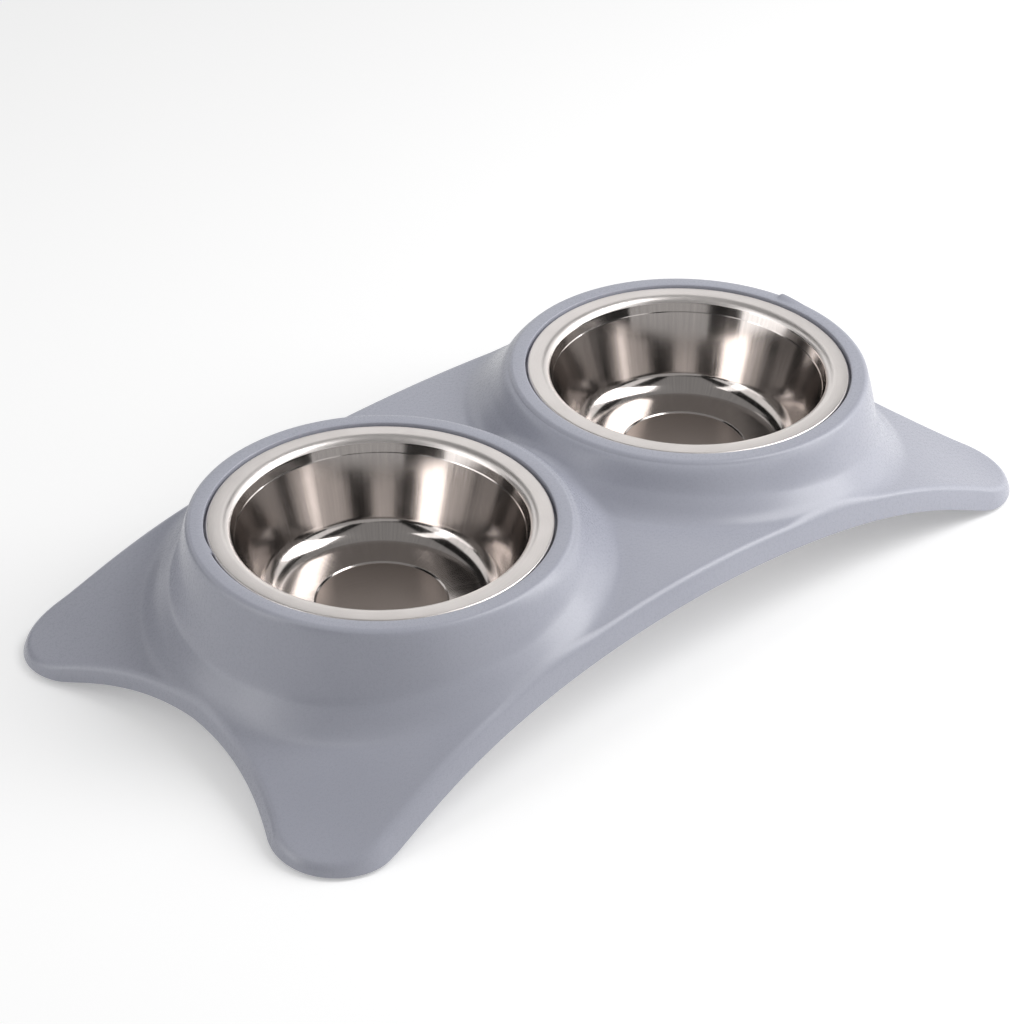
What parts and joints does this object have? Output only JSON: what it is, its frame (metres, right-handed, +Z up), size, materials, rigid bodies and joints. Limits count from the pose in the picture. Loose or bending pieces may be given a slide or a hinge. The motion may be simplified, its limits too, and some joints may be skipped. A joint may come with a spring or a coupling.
{
  "type": "double pet bowl",
  "caption": "Arched plastic feeder stand with raised round collars, drop-in stainless steel bowls that lift out, and rubber pads under its rounded tips.",
  "frame": {"origin": "on the floor under the middle of the stand, midway between the two bowls", "axes": "+X along the stand from the left bowl to the right bowl, +Y to the back, +Z up"},
  "size_m": [0.3804, 0.1958, 0.0609],
  "materials": {
    "plastic": "fine satin moulded plastic, cool grey",
    "steel": "stainless steel, satin brushed rim and floor disc, polished wall",
    "rubber": "matte rubber"
  },
  "bodies": {
    "stand": {"stand": "plastic", "foot_pad_front_left": "rubber", "foot_pad_front_right": "rubber", "foot_pad_back_left": "rubber", "foot_pad_back_right": "rubber"},
    "bowl_left": {"bowl_left": "steel"},
    "bowl_right": {"bowl_right": "steel"}
  },
  "joints": [
    {"name": "lift_left", "type": "slide", "parent": "stand", "child": "bowl_left", "axis": [0, 0, 1], "range_m": [0, 0.05]},
    {"name": "lift_right", "type": "slide", "parent": "stand", "child": "bowl_right", "axis": [0, 0, 1], "range_m": [0, 0.05]}
  ]
}
